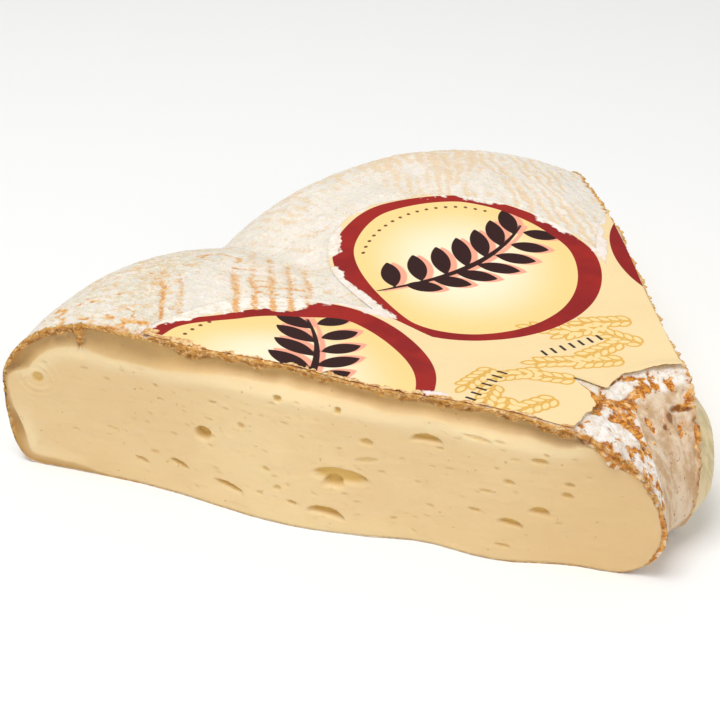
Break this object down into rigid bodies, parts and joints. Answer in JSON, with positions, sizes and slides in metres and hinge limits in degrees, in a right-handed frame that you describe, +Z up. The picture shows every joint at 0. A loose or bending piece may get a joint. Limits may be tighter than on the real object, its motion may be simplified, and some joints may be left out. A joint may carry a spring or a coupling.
{
  "type": "bloomy rind cheese",
  "caption": "Wedge cut from a soft lobed cheese wheel with a white and orange bloomy rind, a bulging cut face and a scalloped paper label on top.",
  "frame": {"origin": "middle of the wedge's outline, on the table it rests on", "axes": "+Z up, the long front cut faces -Y, the outer rim's far lobe is towards +Y"},
  "size_m": [0.1418, 0.1408, 0.0369],
  "materials": {
    "cheese": "soft satin paste with a dry mould rind",
    "label": "printed satin paper"
  },
  "bodies": {
    "root": {"cheese": "cheese", "label": "label"}
  },
  "joints": []
}
